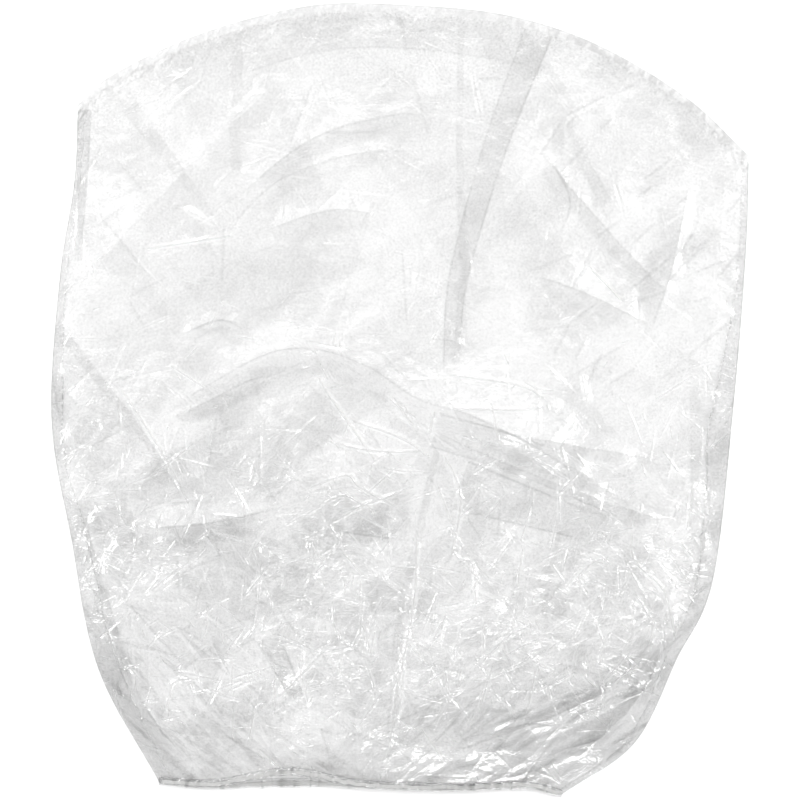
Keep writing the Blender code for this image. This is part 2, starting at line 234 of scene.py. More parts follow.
def facets(seed, cell, angle=0.0, stretch=1.0, level_patches=False):
    """Flat facets with straight creases between them: a random height at each corner.

    With level_patches, every facet is level instead, at a random height of its own.
    """
    rng = np.random.default_rng(seed)
    reach = FACET_REACH
    na, nb = int(2 * reach / (cell * stretch)) + 2, int(2 * reach / cell) + 2
    a, b = np.meshgrid(np.arange(na), np.arange(nb))
    jitter = FACET_JITTER
    a = (a + 0.5 * (b % 2) + rng.uniform(-jitter, jitter, a.shape)).ravel() * cell - reach / stretch
    b = (b + rng.uniform(-jitter, jitter, b.shape)).ravel() * cell - reach
    heights = rng.uniform(-1, 1, a.size)
    corners, _, triangles, origin, _, _ = delaunay_2d_cdt(list(map(Vector, zip(a, b))), [], [], 0, 1e-7)
    level = np.array([heights[o[0]] for o in origin])
    plan = np.array(corners)
    plan[:, 0] *= stretch
    turn = np.array([[math.cos(angle), math.sin(angle)], [-math.sin(angle), math.cos(angle)]])
    plan = plan @ turn
    field = np.zeros(FX.shape)
    px = (plan[:, 0] - field_x[0]) / FIELD_PITCH
    py = (plan[:, 1] - field_y[0]) / FIELD_PITCH
    rows, columns = FX.shape
    own = rng.uniform(-1, 1, len(triangles))
    for number, (i, j, k) in enumerate(triangles):
        xs, ys = px[[i, j, k]], py[[i, j, k]]
        x0, x1 = max(math.ceil(xs.min()), 0), min(math.floor(xs.max()), columns - 1)
        y0, y1 = max(math.ceil(ys.min()), 0), min(math.floor(ys.max()), rows - 1)
        if x1 < x0 or y1 < y0:
            continue
        gx, gy = np.arange(x0, x1 + 1)[None, :], np.arange(y0, y1 + 1)[:, None]
        area = (px[j] - px[i]) * (py[k] - py[i]) - (px[k] - px[i]) * (py[j] - py[i])
        wj = ((gx - px[i]) * (py[k] - py[i]) - (px[k] - px[i]) * (gy - py[i])) / area
        wk = ((px[j] - px[i]) * (gy - py[i]) - (gx - px[i]) * (py[j] - py[i])) / area
        inside = (wj >= -1e-6) & (wk >= -1e-6) & (wj + wk <= 1 + 1e-6)
        height = level[i] * (1 - wj - wk) + level[j] * wj + level[k] * wk
        if level_patches:
            height = np.full(inside.shape, own[number])
        patch = field[y0 : y1 + 1, x0 : x1 + 1]
        patch[inside] = height[inside]
    return field


def sample(field, points):
    """The field's values at plan points."""
    gx = np.clip((points[..., 0] - field_x[0]) / FIELD_PITCH, 0, len(field_x) - 1.001)
    gy = np.clip((points[..., 1] - field_y[0]) / FIELD_PITCH, 0, len(field_y) - 1.001)
    ix, iy = gx.astype(int), gy.astype(int)
    tx, ty = gx - ix, gy - iy
    low = field[iy, ix] * (1 - tx) + field[iy, ix + 1] * tx
    high = field[iy + 1, ix] * (1 - tx) + field[iy + 1, ix + 1] * tx
    return low * (1 - ty) + high * ty


def window(x, y, reach):
    """Slices of the field within reach of a point."""
    ix, iy = int((x - field_x[0]) / FIELD_PITCH), int((y - field_y[0]) / FIELD_PITCH)
    n = int(reach / FIELD_PITCH) + 2
    return slice(max(iy - n, 0), max(iy + n, 0)), slice(max(ix - n, 0), max(ix + n, 0))


def creases(seed, count, region, lengths, heights, width, heading=None, spread=math.pi, pinch=PINCH):
    """Straight ridges and hollows scattered where region, a field from 0 to 1, lets them be.

    heading(x, y) is the direction they keep to, within spread radians, where they have one.
    Also gives where the film is pinched double, from 0 to 1.
    """
    rng = np.random.default_rng(seed)
    field, doubled = np.zeros((2, *FX.shape))
    placed = 0
    while placed < count:
        x, y = rng.uniform(field_x[0], field_x[-1]), rng.uniform(field_y[0], field_y[-1])
        if rng.random() > sample(region, np.array([x, y])):
            continue
        placed += 1
        half = rng.uniform(*lengths) / 2
        angle = (heading(x, y) if heading else 0.0) + rng.uniform(-spread, spread)
        height = rng.uniform(*heights) * rng.choice([-1, 1], p=[HOLLOW, 1 - HOLLOW])
        around = window(x, y, half + 2 * width)
        dx, dy = FX[around] - x, FY[around] - y
        along = dx * math.cos(angle) + dy * math.sin(angle)
        across = -dx * math.sin(angle) + dy * math.cos(angle)
        taper = np.clip(1 - (along / half) ** 2, 0, 1)
        reach = width * (0.3 + taper)
        field[around] += height * taper * np.clip(1 - np.abs(across) / reach, 0, 1)
        core = near(across, pinch * np.sqrt(taper) + 1e-9) * (taper > 0.1)
        doubled[around] = np.maximum(doubled[around], core)
    return field, doubled


def beside(path):
    """How far every field sample lies from a path, negative on its right, and how far along
    the path its nearest point is, as a share of the path's length."""
    gap = np.full(FX.shape, np.inf)
    side = np.full(FX.shape, 1.0)
    share = np.zeros(FX.shape)
    for i in range(len(path) - 1):
        (x0, y0), (x1, y1) = path[i], path[i + 1]
        length = math.hypot(x1 - x0, y1 - y0)
        around = window((x0 + x1) / 2, (y0 + y1) / 2, length / 2 + FOLD_REACH)
        dx, dy = FX[around] - x0, FY[around] - y0
        tx, ty = (x1 - x0) / length, (y1 - y0) / length
        along = np.clip(dx * tx + dy * ty, 0, length)
        away = np.hypot(dx - along * tx, dy - along * ty)
        nearer = away < gap[around]
        gap[around] = np.where(nearer, away, gap[around])
        side[around] = np.where(nearer, np.sign(tx * dy - ty * dx), side[around])
        here = (i + along / length) / (len(path) - 1)
        share[around] = np.where(nearer, here, share[around])
    return gap * np.where(side == 0, 1, side), share


def ridge(points, height, left_width, right_width, tip=0.25, flat=0.55):
    """A fold along a smooth line: its height, and how near its crest and how far down its
    right-hand slope every sample is, from 0 to 1; the slope's share is painted shade."""
    gap, share = beside(smooth_path(points, 60))
    width = np.where(gap > 0, left_width, right_width)
    ends = smoothstep(0, tip, share) * smoothstep(1, 1 - tip, share)
    slope = np.clip(1 - np.abs(gap) / (width * (0.25 + 0.75 * ends)), 0, 1)
    crest = near(gap, PINCH) * smoothstep(0, 0.2, ends)
    shade = (gap < 0) * smoothstep(0.0, 0.30, slope) * ends
    return height * ends * slope * (flat + (1 - flat) * slope), crest, shade


def strip(points, start_width, end_width, edge=0.0008):
    """A flat folded strip along a line: how far inside it, and how near its two folded
    edges, every sample is, from 0 to 1."""
    gap, share = beside(smooth_path(points, 60))
    half = (start_width + (end_width - start_width) * share) / 2
    inside = smoothstep(half + edge, half - edge, np.abs(gap))
    within = (share > 0) * (share < 1) * smoothstep(1.0, 0.85, share)
    return inside * within, near(np.abs(gap) - half, PINCH) * within


# ---- mesh and material helpers ----


def in_scene(name, data):
    """A new object in the scene."""
    made = bpy.data.objects.new(name, data)
    bpy.context.scene.collection.objects.link(made)
    return made


def grid_mesh(name, points, round_columns=False, round_rows=False):
    """A mesh of quads over a grid of 3-D points, closed on itself where asked."""
    rows, columns = points.shape[:2]
    index = np.arange(rows * columns).reshape(rows, columns)
    if round_columns:
        index = np.hstack([index, index[:, :1]])
    if round_rows:
        index = np.vstack([index, index[:1]])
    quads = np.stack([index[:-1, :-1], index[1:, :-1], index[1:, 1:], index[:-1, 1:]], -1).reshape(-1, 4)
    mesh = bpy.data.meshes.new(name)
    mesh.vertices.add(rows * columns)
    mesh.vertices.foreach_set("co", points.reshape(-1, 3).astype(np.float32).ravel())
    mesh.loops.add(len(quads) * 4)
    mesh.loops.foreach_set("vertex_index", quads.ravel().astype(np.int32))
    mesh.polygons.add(len(quads))
    mesh.polygons.foreach_set("loop_start", np.arange(0, len(quads) * 4, 4, dtype=np.int32))
    mesh.update(calc_edges=True)
    mesh.shade_smooth()
    return in_scene(name, mesh)


def node_fed(tree, kind, inputs, **settings):
    """A new node of this kind and settings, its inputs set to values or linked to sockets."""
    node = tree.nodes.new("ShaderNode" + kind)
    for name, value in settings.items():
        setattr(node, name, value)
    for name, value in inputs.items():
        if isinstance(value, bpy.types.NodeSocket):
            tree.links.new(value, node.inputs[name])
        else:
            node.inputs[name].default_value = value
    return node


def maths(tree, operation, *values):
    """A Math node fed by numbers or sockets, as its output socket."""
    return node_fed(tree, "Math", dict(enumerate(values)), operation=operation).outputs[0]


def mixed(tree, share, first, second):
    return node_fed(tree, "MixShader", {0: share, 1: first, 2: second}).outputs[0]


def attribute(tree, name):
    return node_fed(tree, "Attribute", {}, attribute_name=name).outputs["Fac"]


def facet_edges(tree, place, scale, turn, stretch):
    """How far every point is from the edge of its facet, as a share of a facet's size."""
    turned = {"Rotation": (0, 0, turn), "Scale": (1.0, stretch, 1.0), "Vector": place}
    mapping = node_fed(tree, "Mapping", turned)
    sized = {"Scale": scale, "Vector": mapping.outputs["Vector"]}
    cells = node_fed(tree, "TexVoronoi", sized, voronoi_dimensions="2D", feature="DISTANCE_TO_EDGE")
    return cells.outputs["Distance"]


def noise(tree, place, scale, detail=3.0):
    node = node_fed(tree, "TexNoise", {"Scale": scale, "Detail": detail, "Vector": place})
    return node.outputs["Fac"]


def relief(tree, height, depth, below=None):
    """A bump of this depth in metres, over another bump where one is given."""
    under = {"Normal": below} if below else {}
    return node_fed(tree, "Bump", {"Distance": depth, "Height": height} | under).outputs[0]


def new_material(name):
    """A new material and its node tree."""
    material = bpy.data.materials.new(name)
    material.use_nodes = True
    return material, material.node_tree


# Fine crumpling: facets per metre, the turn and stretch of their grain, and their depth.
CRUMPLES = [(26, 0.5, 1.9, 0.004), (66, -0.8, 1.8, 0.001), (165, 1.2, 2.0, 0.00032)]
CREST = 0.035  # share of a facet that the raised line along its edge takes up
CREST_HEIGHT = 0.16
PICKED_SCALE, PICKED_ABOVE = 38, 0.53  # the patches of film where facets have a crest line
GRAIN_SCALE, GRAIN_DEPTH = 420, 0.0002
CLOUD_SCALE = 430


def crumpled_normal(tree, place):
    """The film's fine facets, deeper where its crumple attribute says so, and where a crest
    line between facets is, from 0 to 1, which the film is darkened by as painted shade."""
    amount = attribute(tree, "crumple")
    picked = noise(tree, place, PICKED_SCALE, detail=2.0)
    picked = maths(tree, "GREATER_THAN", picked, PICKED_ABOVE)
    normal, lines = None, 0.0
    for scale, turn, stretch, depth in CRUMPLES:
        edge = facet_edges(tree, place, scale, turn, stretch)
        crest = maths(tree, "DIVIDE", edge, CREST)
        crest = maths(tree, "SUBTRACT", 1.0, maths(tree, "MINIMUM", crest, 1.0))
        crest = maths(tree, "MULTIPLY", crest, picked)
        height = maths(tree, "MULTIPLY_ADD", crest, CREST_HEIGHT, edge)
        normal = relief(tree, maths(tree, "MULTIPLY", height, amount), depth, normal)
        lines = maths(tree, "MAXIMUM", crest, lines)
    normal = relief(tree, noise(tree, place, GRAIN_SCALE), GRAIN_DEPTH, normal)
    return normal, maths(tree, "MULTIPLY", lines, amount)


def film_material(name, haze=0.012, roughness=0.05, shadow=0.1):
    """Thin clear film. Its two faces mirror 2r / (1 + r), where r is what one face mirrors.
    Overlapping plies mirror more and pass less: the plies attribute says how many lie there, and it also
    carries painted shade along creases, folded edges and the shaded slopes of folds.
    The whitened_and_highlit attribute says where a sharp crease has turned the film milky: partly its own
    stress whitening, partly a painted highlight. Flat film scatters haze of the light. Only shadow of a
    lamp's light meets the film on its way down."""
    material, tree = new_material(name)
    tree.nodes.clear()
    output = node_fed(tree, "OutputMaterial", {})
    place = node_fed(tree, "TexCoord", {}).outputs["Object"]
    normal, lines = crumpled_normal(tree, place)

    tilt = node_fed(tree, "LayerWeight", {"Blend": 0.5, "Normal": normal})
    grazing = maths(tree, "POWER", tilt.outputs["Facing"], 5.0)
    face = maths(tree, "MULTIPLY_ADD", grazing, 1.0 - FACE_MIRROR, FACE_MIRROR)
    both = maths(tree, "MULTIPLY", face, 2.0)
    one_film = maths(tree, "DIVIDE", both, maths(tree, "ADD", face, 1.0))
    cloud = noise(tree, place, CLOUD_SCALE, detail=2.0)
    mottle = maths(tree, "MULTIPLY_ADD", cloud, MOTTLE, -MOTTLE / 2)
    # Painted shade: the crest lines darken the film as if by further plies.
    plies = maths(tree, "ADD", attribute(tree, "plies"), maths(tree, "ADD", lines, mottle))
    more = maths(tree, "SUBTRACT", plies, 1.0)
    spread = maths(tree, "MULTIPLY_ADD", more, PLY_MIRROR, 1.0)
    share = maths(tree, "MINIMUM", maths(tree, "MULTIPLY", spread, one_film), 1.0)

    passed = maths(tree, "POWER", PLY_PASSES, maths(tree, "MAXIMUM", more, 0.0))
    clear = node_fed(tree, "BsdfTransparent", {"Color": passed})
    milky = node_fed(tree, "BsdfTranslucent", {"Color": MILKY})
    gloss_inputs = {"Roughness": roughness, "Color": WHITE, "Normal": normal}
    gloss = node_fed(tree, "BsdfGlossy", gloss_inputs)
    # Milky along sharp creases, partly the film's own whitening, partly a painted highlight; haze
    # everywhere.
    milk = maths(tree, "MULTIPLY_ADD", attribute(tree, "whitened_and_highlit"), WHITENING_AND_HIGHLIGHT, haze)
    body = mixed(tree, milk, clear.outputs[0], milky.outputs[0])
    film = mixed(tree, share, body, gloss.outputs[0])
    lamp = node_fed(tree, "LightPath", {}).outputs["Is Shadow Ray"]
    passing = maths(tree, "MULTIPLY", lamp, 1.0 - shadow)
    through = node_fed(tree, "BsdfTransparent", {})
    tree.links.new(mixed(tree, passing, film, through.outputs[0]), output.inputs["Surface"])
    return material


def give(made, attribute_name, values):
    layer = made.data.attributes.new(attribute_name, "FLOAT", "POINT")
    layer.data.foreach_set("value", values.astype(np.float32).ravel())


def drawn_in(x, y):
    """The direction of the folds that run down to the mouth beside its nearer corner."""
    return CORNER_FOLDS[0] if x < MOUTH_MIDDLE else CORNER_FOLDS[1]


MAIN_PLEAT = [(0.143, 0.379), (0.099, 0.265), (0.069, 0.165), (0.055, 0.1), (0.05, 0.0)]

# Pleats: strips where the film lies folded over itself, as (line, width at start, at end, plies).
PLEATS = [
    (MAIN_PLEAT, 0.028, 0.014, 0.7),
    ([(0.0615, 0.385), (0.06, 0.25), (0.063, 0.13), (0.056, 0.01)], 0.005, 0.009, 0.5),
    ([(-0.164, 0.36), (-0.165, 0.22)], 0.013, 0.009, 0.6),
    ([(0.0, 0.385), (0.016, 0.315), (0.03, 0.26)], 0.003, 0.002, 0.4),
    ([(-0.272, 0.295), (-0.215, 0.22), (-0.165, 0.15)], 0.016, 0.003, 0.5),
    ([(-0.317, 0.292), (-0.319, 0.22), (-0.324, 0.13)], 0.014, 0.005, 1.0),
    ([(-0.026, 0.2), (-0.056, 0.12), (-0.085, 0.045)], 0.002, 0.022, 0.4),
    ([(-0.334, 0.06), (-0.27, -0.02), (-0.21, -0.105)], 0.01, 0.004, 0.7),
    ([(0.037, -0.05), (0.02, -0.13), (0.0, -0.22), (-0.01, -0.37)], 0.006, 0.01, 0.7),
    ([(0.295, 0.04), (0.296, -0.09), (0.288, -0.2)], 0.01, 0.007, 0.6),
    ([(-0.3155, -0.13), (-0.2885, -0.22), (-0.2605, -0.3), (-0.2105, -0.37)], 0.005, 0.007, 1.2),
    ([(0.164, 0.285), (0.189, 0.23), (0.22, 0.175)], 0.005, 0.016, 0.7),
    ([(0.156, 0.285), (0.16, 0.24), (0.165, 0.205)], 0.012, 0.009, 0.7),
    ([(0.035, -0.03), (0.12, -0.056), (0.235, -0.102)], 0.034, 0.04, 0.5),
    ([(-0.075, -0.112), (0.015, -0.118)], 0.034, 0.046, 0.8),
    ([(0.06, -0.085), (0.185, -0.125)], 0.05, 0.028, 0.7),
    ([(-0.132, -0.235), (-0.115, -0.27), (-0.1, -0.3)], 0.024, 0.012, 1.3),
    ([(-0.096, 0.133), (-0.062, 0.128)], 0.02, 0.018, 0.8),
]

MAIN_FOLD = [
    (-0.24, -0.015), (-0.195, 0.013), (-0.13, 0.047), (-0.08, 0.05), (-0.03, 0.032),
    (0.02, 0.0), (0.07, -0.015), (0.14, -0.05), (0.24, -0.11),
]

# Folds: (line, height, width of the slope on its left, on its right, painted shade on its right-hand
# slope, in plies).
FOLDS = [
    (MAIN_FOLD, 0.008, 0.055, 0.026, 0.7),
    ([(-0.23, -0.018), (-0.19, 0.0), (-0.15, 0.02), (-0.12, 0.025)], 0.002, 0.014, 0.018, 0.9),
    ([(0.02, -0.015), (0.09, -0.03), (0.17, -0.045), (0.26, -0.06)], 0.0022, 0.016, 0.012, 0.5),
    ([(0.03, -0.03), (0.11, -0.065), (0.2, -0.1), (0.28, -0.125)], 0.0022, 0.014, 0.018, 0.5),
    ([(0.14, 0.335), (0.02, 0.352), (-0.08, 0.35), (-0.18, 0.32)], 0.0008, 0.02, 0.042, 0.25),
    ([(0.13, 0.26), (0.19, 0.19), (0.25, 0.125), (0.27, 0.105)], 0.002, 0.02, 0.016, 0.5),
    ([(-0.16, 0.205), (-0.09, 0.26), (-0.01, 0.285), (0.03, 0.285)], 0.0045, 0.04, 0.02, 0.5),
    ([(-0.17, 0.175), (-0.12, 0.22), (-0.05, 0.245), (0.01, 0.25)], 0.003, 0.024, 0.018, 0.3),
    ([(-0.135, 0.17), (-0.07, 0.19), (-0.02, 0.185)], 0.0035, 0.018, 0.026, 0.4),
    ([(0.135, 0.125), (0.19, 0.105), (0.25, 0.075)], 0.005, 0.03, 0.02, 0.5),
    ([(0.29, 0.22), (0.275, 0.14), (0.252, 0.07)], 0.004, 0.016, 0.03, 0.4),
    ([(0.145, 0.25), (0.17, 0.2), (0.16, 0.165)], 0.0035, 0.022, 0.016, 0.4),
    ([(-0.22, 0.065), (-0.18, 0.08), (-0.155, 0.07)], 0.004, 0.022, 0.012, 0.6),
    ([(-0.26, -0.129), (-0.19, -0.122), (-0.115, -0.106)], 0.005, 0.03, 0.024, 1.0),
    ([(-0.3, -0.21), (-0.26, -0.3), (-0.21, -0.365)], 0.006, 0.014, 0.022, 0.8),
    ([(0.27, -0.24), (0.23, -0.31), (0.17, -0.365)], 0.006, 0.022, 0.014, 0.8),
    ([(0.245, -0.275), (0.14, -0.32), (0.04, -0.355)], 0.005, 0.02, 0.016, 0.8),
]

# Package creases: thin lines, made milky by the sharp bend: partly the film's own stress whitening, partly
# a painted highlight.
PACKAGE_CREASES = [
    [(-0.08, 0.03), (-0.077, 0.014), (-0.02, -0.067)],
    [(-0.055, -0.018), (0.003, -0.039), (0.036, -0.063)],
    [(-0.079, -0.039), (-0.026, -0.051), (0.031, -0.051)], [(-0.01, 0.006), (0.015, -0.029)],
    [(0.035, -0.01), (0.029, -0.035)], [(0.044, 0.026), (0.121, 0.014), (0.15, -0.004)],
    [(0.15, -0.005), (0.121, -0.01), (0.044, -0.008)],
    [(0.04, -0.047), (0.06, -0.096), (0.05, -0.165)],
    [(0.05, -0.165), (0.072, -0.163), (0.076, -0.21)],
    [(-0.099, -0.092), (-0.055, -0.075), (-0.038, -0.088), (0.015, -0.116)],
    [(-0.067, -0.114), (-0.017, -0.098), (0.019, -0.084)],
    [(0.018, -0.115), (0.014, -0.2), (-0.005, -0.3), (-0.012, -0.37)],
    [(-0.004, -0.221), (0.003, -0.276), (-0.008, -0.335), (-0.021, -0.373)],
    [(-0.285, 0.02), (-0.24, -0.05), (-0.205, -0.115)], [(-0.26, 0.15), (-0.161, 0.165)],
    [(-0.126, -0.3), (-0.084, -0.258), (-0.076, -0.243)],
    [(-0.23, -0.302), (-0.226, -0.282), (-0.201, -0.278)], [(-0.23, -0.269), (-0.176, -0.28)],
    [(-0.084, -0.251), (-0.036, -0.243)],
    [(0.232, -0.122), (0.234, -0.159), (0.264, -0.192), (0.278, -0.25)],
    [(0.253, -0.214), (0.251, -0.254)], [(0.088, -0.335), (0.117, -0.319)],
    [(0.128, -0.258), (0.159, -0.274)], [(0.18, -0.273), (0.196, -0.287)],
]
PACKAGE_CREASE, PACKAGE_SLOPE = 0.0018, 0.004  # how high they stand, and how wide each side is

# Flat tilted faces that flash: (line, height, width on its left).
FLASHES = [
    ([(-0.1735, 0.275), (-0.131, 0.315)], 0.0022, 0.0085),
    ([(-0.221, 0.193), (-0.18, 0.172)], 0.0022, 0.0075),
    ([(0.18, 0.03), (0.188, -0.01)], 0.002, 0.008),
    ([(0.224, -0.045), (0.232, -0.072)], 0.002, 0.007),
    ([(-0.129, -0.203), (-0.134, -0.188)], 0.0018, 0.006),
    ([(0.048, -0.218), (0.041, -0.247)], 0.002, 0.007),
    ([(0.166, -0.202), (0.198, -0.227)], 0.002, 0.007),
]


# Radii that the folds, the package creases, the flashing faces and the pleats are softened by.
SOFTNESS = {"fold": 0.0012, "crease": 0.0005, "flash": 0.0004, "pleat": 0.0006}
PLEAT_HEIGHT = 0.0003
FLASH_BACK = 0.002  # how wide the slope behind a flashing face is
SHARP_EDGE, SOFT_EDGE = 1.4, 0.35  # plies along the edges of a broad and of a narrow pleat: partly the folded film, partly painted shade


def placed_folds():
    """The height of the folds, creases and pleats that lie in known places; their plies, with painted
    shade on the folds' right-hand slopes and partly along crests and pleat edges; and where they turn
    milky, partly as a painted highlight."""
    height, plies, whitened_and_highlit = np.zeros((3, *FX.shape))
    for points, rise, left_width, right_width, extra in FOLDS:
        fold, crest, shade = ridge(points, rise, left_width, right_width)
        height += blurred(fold, SOFTNESS["fold"])
        # Painted shade on each fold's right-hand slope; its crest is partly pinched film, partly painted
        # shade.
        plies += 0.8 * crest + 1.5 * extra * shade
    for points in PACKAGE_CREASES:
        fold, crest, _ = ridge(points, PACKAGE_CREASE, PACKAGE_SLOPE, PACKAGE_SLOPE, tip=0.4)
        height += blurred(fold, SOFTNESS["crease"])
        # Painted highlight, partly the film's own whitening, along each package crease.
        whitened_and_highlit = np.maximum(whitened_and_highlit, crest**2)
    for points, rise, left_width in FLASHES:
        face, _, _ = ridge(points, rise, left_width, FLASH_BACK, flat=1.0)
        height += blurred(face, SOFTNESS["flash"])
    worn = 0.6 + 0.4 * np.clip(1 + swells(54, 0.03), 0, 2)
    for points, start_width, end_width, extra in PLEATS:
        inside, edges = strip(points, start_width, end_width)
        # Pleat edges: partly the folded film, partly painted shade.
        edge = SHARP_EDGE if start_width > BROAD_PLEAT else SOFT_EDGE
        plies += (extra * inside + edge * edges) * worn
        height += PLEAT_HEIGHT * blurred(inside, SOFTNESS["pleat"])
    return height, plies, whitened_and_highlit


def arch_share():
    """How far every sample is from the middle of the cover towards the arch, which is at 1."""
    x, y = smooth_path(ARCH).T
    bearing, distance = np.arctan2(x, y - ARCH_EYE), np.hypot(x, y - ARCH_EYE)
    order = np.argsort(bearing)
    here = np.arctan2(FX, FY - ARCH_EYE)
    here = np.interp(here, bearing[order], distance[order], left=9, right=9)
    return np.hypot(FX, FY - ARCH_EYE) / here


def diagonal(x, y):
    return 1.0 - 1.2 * x


def from_centre(x, y):
    return math.atan2(y - ARCH_EYE, x)


# Creases at random places: (region, plies and whitening where they are pinched, seed, count,
# lengths, heights, half width, heading, spread about it, half width of the pinched film).
# The plies are partly the film pinched double, partly painted shade; the whitening is partly the film's
# own, partly a painted highlight.
SCATTERED = [
    ("upper", 0.3, 0.0, 30, 260, (0.02, 0.09), (0.0002, 0.0007), 0.0018),
    ("crumpled", 0.5, 0.0, 31, 400, (0.01, 0.06), (0.0007, 0.0014), 0.0016),
    ("finely_crumpled", 0.4, 0.0, 35, 420, (0.005, 0.025), (0.0004, 0.0009), 0.0011),
    ("crumpled", 0.0, 0.9, 41, 170, (0.012, 0.05), (0.0006, 0.0012), 0.0016, None, math.pi, 0.0006),
    ("finely_crumpled", 0.0, 0.8, 42, 420, (0.004, 0.02), (0.0004, 0.0008), 0.0012, None, math.pi, 0.0005),
    ("near_mouth", 0.9, 0.0, 32, 170, (0.03, 0.09), (0.0003, 0.0009), 0.004, drawn_in, 0.35),
    ("arch_band", 1.2, 0.0, 34, 200, (0.006, 0.024), (0.0001, 0.0005), 0.0018, from_centre, 0.5),
    ("top_right", 1.0, 0.0, 36, 46, (0.015, 0.06), (0.0003, 0.001), 0.004, diagonal, 0.4, 0.0016),
    ("top_left", 0.8, 0.0, 37, 26, (0.02, 0.08), (0.0003, 0.0008), 0.005, diagonal, 1.2, 0.0014),
    ("corners", 1.0, 0.0, 38, 130, (0.03, 0.1), (0.0002, 0.0007), 0.004, drawn_in, 0.3, 0.0016),
    ("lower", 0.8, 0.0, 39, 200, (0.01, 0.04), (0.0002, 0.0008), 0.003, None, math.pi, 0.0015),
]

# Flat facets: (region, seed, size, direction, stretch, softness of their creases, height
# everywhere, further height in the region).
FACETS = [
    ("middle", 11, 0.075, 0.3, 1.5, 0.0025, 0.0012, 0.0032),
    ("patchy_middle", 12, 0.03, -0.5, 1.7, 0.0009, 0.0007, 0.0026),
    ("patchy_middle", 13, 0.014, 0.9, 1.7, 0.0006, 0.0003, 0.0009),
    ("patchy_lower", 14, 0.007, 0.2, 1.5, 0.0004, 0.0001, 0.0003),
]
BACK_FACETS = [
    ("middle", 15, 0.05, 1.1, 1.5, 0.0012, 0.0005, 0.0016),
    ("lower", 16, 0.018, 0.1, 1.6, 0.0008, 0.0002, 0.0012),
]

# Broad creased folds: (region, seed, length, width, direction, softness, height).
BROAD_FOLDS = [
    ("everywhere", 44, 0.24, 0.07, -0.95, 0.0016, 0.0012),
    ("everywhere", 45, 0.16, 0.045, 0.75, 0.0012, 0.0009),
    ("rippled", 46, 0.08, 0.02, 1.0, 0.0008, 0.0006),
    ("rippled", 49, 0.05, 0.011, -0.6, 0.0006, 0.0003),
]

# Where the film lies on itself: long bands (seed, length, width, direction, plies) and
# straight-edged patches (seed, size, direction, stretch, the level from which it is doubled).
BANDS = [(55, 0.3, 0.07, 0.55, 0.4), (56, 0.22, 0.05, -0.95, 0.35)]
OVERLAPS = [(51, 0.06, 0.6, 2.8, 0.5), (52, 0.03, -0.3, 2.2, 0.45), (53, 0.016, 1.1, 2.0, 0.45)]


def cover_regions():
    """Fields from 0 to 1 over the plan that say where each kind of folding is. The bounds are
    metres from the origin: the arch reaches y = 0.396 and the mouth is at about -0.39."""
    lower = smoothstep(0.10, -0.30, FY)
    middle = smoothstep(0.20, -0.02, FY)
    patchy = smoothstep(-0.9, 1.1, swells(21, 0.075) + 1.8 * (lower - 0.30))
    arch = arch_share()
    off_middle = np.abs(FX - MOUTH_MIDDLE)
    top_right = smoothstep(0.10, 0.22, FX) * smoothstep(-0.05, 0.05, FY)
    drawn_flat = smoothstep(-0.28, -0.36, FY)
    return {
        "everywhere": np.ones(FX.shape),
        "upper": 1 - lower,
        "middle": middle,
        "lower": lower,
        "patchy_middle": patchy * middle,
        "patchy_lower": patchy * (0.2 + 0.8 * lower),
        "rippled": smoothstep(-0.2, 1.6, swells(43, 0.09)),
        "crumpled": (0.1 * middle + 0.9 * lower) * (1 - 0.8 * drawn_flat),
        "finely_crumpled": (0.2 * middle + 0.8 * lower) * (1 - 0.8 * drawn_flat),
        "relief": 0.22 + 0.25 * patchy * middle + 0.34 * patchy * lower,
        "drawn_flat": drawn_flat,
        "near_mouth": smoothstep(-0.20, -0.34, FY),
        "gathered": smoothstep(0.05, -0.03, FY + 0.36 - 0.35 * off_middle),
        "corners": smoothstep(-0.16, -0.34, FY) * smoothstep(0.02, 0.14, off_middle),
        "rim": smoothstep(0.90, 0.97, arch),
        "arch_band": smoothstep(0.985, 1.0, arch) * smoothstep(1.0, 0.985, arch - 0.02),
        "top_right": top_right,
        "top_left": (1 - lower) * (1 - top_right),
    }


def scattered_creases(regions):
    """Creases at random places: their height and plies, and where they turn milky. The plies are partly
    pinched film, partly painted shade; the milkiness is partly a painted highlight.
    """
    height, plies, whitened_and_highlit = np.zeros((3, *FX.shape))
    for region, extra, white, seed, count, *shape in SCATTERED:
        ridges, doubled = creases(seed, count, regions[region], *shape)
        height += ridges
        # Painted shade along the pinched creases, partly the film doubled there.
        plies += extra * doubled
        whitened_and_highlit = np.maximum(whitened_and_highlit, white * doubled)
    return height, plies, whitened_and_highlit


def faceted(table, regions):
    height = np.zeros(FX.shape)
    for region, seed, cell, angle, stretch, softness, least, more in table:
        flat = blurred(facets(seed, cell, angle=angle, stretch=stretch), softness)
        height += flat * (least + more * regions[region])
    return height


def mouth_folds():
    """Long folds that run down to the mouth beside its corners, with unit spread."""
    to_right = smoothstep(-0.08, 0.08, FX - MOUTH_MIDDLE)
    left, right = (streaks(seed, 0.10, 0.010, angle) for seed, angle in zip((57, 58), CORNER_FOLDS))
    return left * (1 - to_right) + right * to_right


def overlaps(regions):
    """How many further plies the front film has where it lies on itself."""
    plies = np.zeros(FX.shape)
    for seed, length, width, angle, extra in BANDS:
        plies += extra * smoothstep(0.25, 0.45, streaks(seed, length, width, angle))
    for seed, cell, angle, stretch, least in OVERLAPS:
        patches = facets(seed, cell, angle=angle, stretch=stretch, level_patches=True) > least
        plies += 0.7 * patches * (0.35 + 0.65 * regions["lower"])
    return plies


# Heights of the swells and of the folds that are drawn to the mouth, and of the back film's.
FRONT_SWELLS, DRAWN_FOLDS = 0.0015, 0.0005
BACK_LOFT, BACK_SWELLS, BACK_FOLDS = 0.0016, 0.0006, 0.0004
BROAD_FROM = 0.012  # shapes wider than about this fade out over BROAD_FADE at the edges


